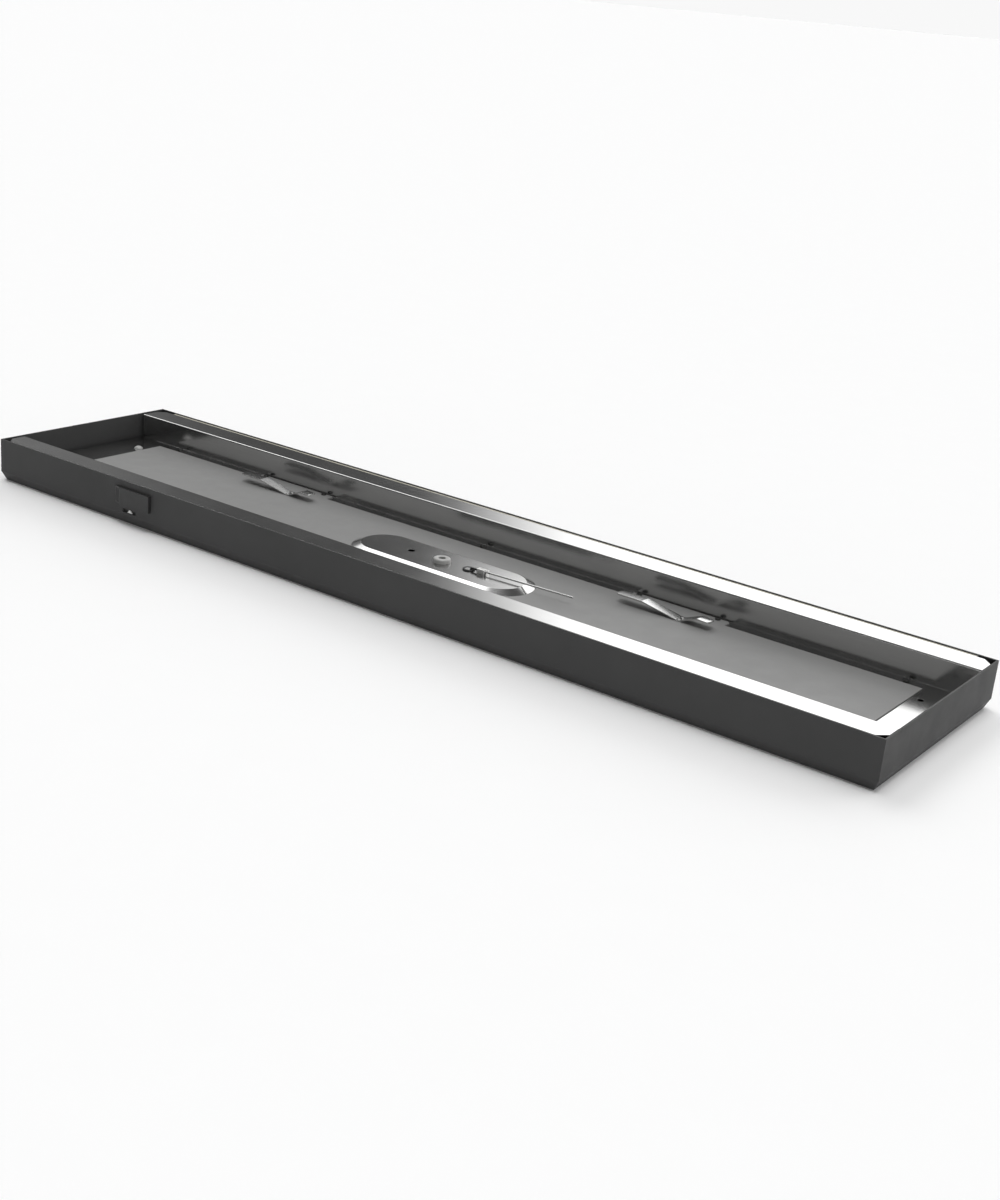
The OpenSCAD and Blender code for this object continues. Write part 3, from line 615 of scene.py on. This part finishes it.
def make_oval_plate():
    """Pressed plate with rounded shoulders and the holes for collar, lead and sight hole."""
    low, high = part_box("oval_plate")
    centre = ((low.x + high.x) / 2, (low.y + high.y) / 2)
    foot = (high.y - low.y) / 2
    span = high.x - low.x - 2 * foot
    slope = 8.9 * MM
    inner = foot - slope - 4 * MM
    skin = rounded([
        (foot, low.z), (foot, low.z + SHEET, 0.3 * MM),
        (foot - slope, high.z, 0.9 * MM), (inner, high.z),
    ])
    under = rounded([
        (inner, high.z - SHEET), (foot - slope - SHEET, high.z - SHEET, 0.5 * MM),
        (foot - SHEET, low.z),
    ])
    shape = bmesh.new()
    loft(shape, [
        [(x, y, z) for x, y in oval_points(centre, span, radius)] for radius, z in under + skin
    ][::-1])
    made = new_piece(
        "oval_plate_shell", shape, "bright_liner", "tray", "oval_plate", round_edges=0.12 * MM
    )
    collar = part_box("feed_collar")
    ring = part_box("lead_grommet")
    holes = [
        (SIGHT_HOLE_PLACE, SIGHT_HOLE),
        ((collar[0] + collar[1]) / 2, COLLAR_HOLE),
        ((ring[0] + ring[1]) / 2, GROMMET_NECK),
    ]
    cut(made, [
        upright(circle_points(place, radius, 40), high.z - 3 * MM, high.z + 1 * MM)
        for place, radius in holes
    ])


def make_bracket(node, foot_x):
    """Bent strip with bend radii, round corners and a crowned right tab, and its two weld spots.
    It rests on the panel at foot_x and rises to a tab at each end."""
    low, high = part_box(node)
    sheet = 1.2 * MM
    right_bend = foot_x + 18.8 * MM
    middle = (low.y + high.y) / 2
    half = (high.y - low.y) / 2
    base = low.z + sheet / 2
    top = high.z - sheet / 2
    path = rounded([
        (low.x, top), (foot_x - 38.7 * MM, top, 4 * MM), (foot_x - 1.5 * MM, base, 1.2 * MM),
        (foot_x + 1.5 * MM, base, 1.2 * MM), (right_bend, top, 3 * MM), (high.x, top),
    ])
    corner = 2.6 * MM
    ends = [corner * (1 - math.cos(math.radians(angle))) for angle in range(0, 91, 15)]
    path = (
        [Vector((low.x + reach, top)) for reach in ends] + path[1:-1]
        + [Vector((high.x - reach, top)) for reach in ends[::-1]]
    )
    over, under = offset(path, sheet / 2), offset(path, -sheet / 2)
    rings = []
    for index, point in enumerate(path):
        reach = min(point.x - low.x, high.x - point.x, corner)
        side = half - corner + math.sqrt(max(corner**2 - (corner - reach) ** 2, 0))
        a, b = over[index], under[index]
        crown = 0.6 * MM * min(max(point.x - right_bend, 0) / (3 * MM), 1)
        across = [step / 4 for step in range(-4, 5)]
        rings.append(
            [(a.x, middle + side * t, a.y - crown * t * t) for t in across]
            + [(b.x, middle + side * t, b.y - crown * t * t) for t in across[::-1]]
        )
    shape = bmesh.new()
    loft(shape, rings)
    new_piece(f"{node}_strip", shape, "satin_steel", "tray", node, round_edges=0.2 * MM)
    weld_low = base + 0.5 * MM
    weld_top = base + 0.95 * MM
    weld_hole = 0.3 * MM
    nugget = rounded([(0, weld_top), (1.0 * MM, weld_top, 0.2 * MM), (1.35 * MM, weld_low)])
    profile = nugget[1:] + [Vector((weld_hole, weld_low)), Vector((weld_hole, weld_top))]
    shape = bmesh.new()
    for side in (-1, 1):
        lathe(shape, profile, (foot_x, middle + side * 3 * MM), 20)
    new_piece(f"{node}_welds", shape, "zinc_steel", "tray")


# ---------- collar, probe and slider ----------


def make_feed_collar():
    """Turned collar: rounded rim, chamfered bore, and thread grooves on its shank."""
    low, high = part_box("feed_collar")
    centre = ((low.x + high.x) / 2, (low.y + high.y) / 2)
    radius = (high.x - low.x) / 2
    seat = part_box("oval_plate")[1].z
    bore = 3.4 * MM
    chamfer = 0.5 * MM
    shank = 5.5 * MM
    rim = 1.6 * MM
    outer = rounded([
        (bore + chamfer, high.z), (radius, high.z, rim), (radius, seat, 0.3 * MM), (shank, seat),
    ])
    thread = []
    turns = 9
    pitch = (seat - low.z) / turns
    for turn in range(turns):
        start = seat - turn * pitch
        thread += [Vector((shank, start - 0.2 * pitch)), Vector((shank - 0.35 * MM, start - 0.6 * pitch))]
    inner = [
        Vector((shank - 0.3 * MM, low.z)), Vector((bore, low.z)),
        Vector((bore, high.z - chamfer)),
    ]
    shape = bmesh.new()
    lathe(shape, outer + thread + inner, centre, 96)
    new_piece("feed_collar_turned", shape, "grey_plastic", "tray", "feed_collar", smooth_below=50)


def make_grommet():
    """Rubber ring with a round bead above and below the plate."""
    low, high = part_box("lead_grommet")
    centre = ((low.x + high.x) / 2, (low.y + high.y) / 2)
    radius = (high.x - low.x) / 2
    bore = GROMMET_BORE
    neck = GROMMET_NECK
    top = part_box("oval_plate")[1].z
    bead = 0.55 * MM
    waist = (low.z + high.z) / 2
    seam = 0.01 * MM
    profile = rounded([
        (bore, waist), (bore, high.z, 0.5 * MM), (radius, high.z, bead), (radius, top, 0.2 * MM),
        (neck, top, 0.05 * MM), (neck, top - SHEET, 0.05 * MM), (radius, top - SHEET, 0.2 * MM),
        (radius, low.z, bead), (bore, low.z, 0.3 * MM), (bore, waist - seam),
    ])
    shape = bmesh.new()
    lathe(shape, profile, centre, 72)
    new_piece("lead_grommet_ring", shape, "black_rubber", "tray", "lead_grommet", smooth_below=60)


def make_probe_clamp():
    """Folded clip over the probe: rounded back, open mouth for the lead and a crimp near its end."""
    low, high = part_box("probe_clamp")
    centre = (low + high) / 2
    turn_degrees = 4
    turn = Matrix.Rotation(math.radians(turn_degrees), 4, "Z")
    seat = Matrix.Translation((centre.x, centre.y, 0)) @ turn
    half_length = 5.3 * MM
    half_width = 2.8 * MM
    shoulder = 0.9 * MM
    section = rounded([
        (-half_width, low.z), (-half_width, high.z, shoulder),
        (half_width, high.z, shoulder), (half_width, low.z),
    ])
    waist = [Vector((y * 0.86, low.z + (z - low.z) * 0.80)) for y, z in section]
    crimp = half_length - 2.6 * MM
    steps = [
        (-half_length, section), (crimp - 0.3 * MM, section), (crimp, waist), (crimp + 0.9 * MM, waist),
        (crimp + 1.2 * MM, section), (half_length, section),
    ]
    shape = bmesh.new()
    loft(shape, [[(x, y, z) for y, z in ring] for x, ring in steps])
    shape.transform(seat)
    made = new_piece(
        "probe_clamp_clip", shape, "satin_steel", "tray", "probe_clamp", round_edges=0.15 * MM
    )
    # Lighter and less glossy than its slot's steel, as in the photo
    made.data.materials.clear()
    made.data.materials.append(MATERIALS["nickel"])
    axis = Vector((0, 0, high.z - 2.1 * MM))
    mouth_radius = 1.15 * MM
    mouth_depth = 2.6 * MM
    mouth = [
        [seat @ (axis + Vector((x, y, z))) for y, z in circle_points((0, 0), mouth_radius, 24)]
        for x in (-half_length - 1 * MM, -half_length + mouth_depth)
    ]
    cut(made, [mouth])


def make_slider_cap():
    """Moulded cap: rounded face, sloping grip with grooves, and the stem behind it."""
    low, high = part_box("slider_cap")
    # Rear face of the cap, in front of the casing
    back = -113.5 * MM
    lip = 0.8 * MM
    ramp = 9.3 * MM
    outline = rounded([
        (high.x, back), (high.x, low.y, 0.9 * MM), (low.x + ramp, low.y, 2.5 * MM),
        (low.x, back - lip, 0.5 * MM), (low.x, back),
    ])
    shape = bmesh.new()
    loft(shape, upright([tuple(point) for point in outline], low.z, high.z))
    made = new_piece(
        "slider_cap_moulded", shape, "black_plastic", "slider", "slider_cap", round_edges=0.45 * MM
    )
    grooves = []
    groove_radius = 0.7 * MM
    groove_end = 1.5 * MM
    slope = (back - lip - low.y) / ramp
    for index in range(3):
        x = low.x + (2.2 + 2.4 * index) * MM
        y = back - lip - (x - low.x) * slope
        outline = circle_points((x, y), groove_radius, 20)
        grooves.append(upright(outline, low.z + groove_end, high.z - groove_end))
    cut(made, grooves)
    stem_x = (low.x + high.x) / 2
    stem_z = (low.z + high.z) / 2
    stem_front = back - 0.3 * MM
    stem_half_width = 9 * MM
    stem_half_height = 2.5 * MM
    plan = [
        (stem_x + side * stem_half_width, y)
        for side, y in ((-1, stem_front), (1, stem_front), (1, high.y), (-1, high.y))
    ]
    shape = bmesh.new()
    loft(shape, upright(plan, stem_z - stem_half_height, stem_z + stem_half_height))
    new_piece("slider_stem", shape, "black_plastic", "slider", round_edges=0.25 * MM)


# ---------- CAD nodes that stay ----------

SOFTEN_ABOVE_DEGREES = 20
WELD_DISTANCE = 0.002 * MM


def soften(node, width):
    """Joins the node's split edges and rounds its sharp ones, as modifiers on top of its mesh."""
    weld = NODES[node].modifiers.new("weld", "WELD")
    weld.merge_threshold = WELD_DISTANCE
    bevel = NODES[node].modifiers.new("edges", "BEVEL")
    bevel.width = width
    bevel.segments = 2
    bevel.limit_method = "ANGLE"
    bevel.angle_limit = math.radians(SOFTEN_ABOVE_DEGREES)
    bevel.harden_normals = True


# Nodes given a darker copy of their slot's look: painted shade and dark reflection on the screws, painted
# shade on the carriage seen through the slot
LOOKS = {"panel_screws": "shaded_zinc", "liner_screws": "shaded_zinc", "slider_carriage": "shaded_black_plastic"}


def dress_nodes():
    """Gives each CAD node the look of its slot, or its own look."""
    slots = {part["node"]: part["material_slot"] for part in frame["record"]["subparts"]}
    for name, node in NODES.items():
        node.data.materials.clear()
        node.data.materials.append(MATERIALS[LOOKS.get(name, slots[name])])


make_camera()
make_world()
make_floor()
dress_nodes()
soften("casing", 0.2 * MM)
soften("bed_panel", 0.15 * MM)
make_liner()
make_oval_plate()
make_bracket("bracket_left", -236.8 * MM)
make_bracket("bracket_right", 235.7 * MM)
make_feed_collar()
make_grommet()
make_probe_clamp()
make_slider_cap()
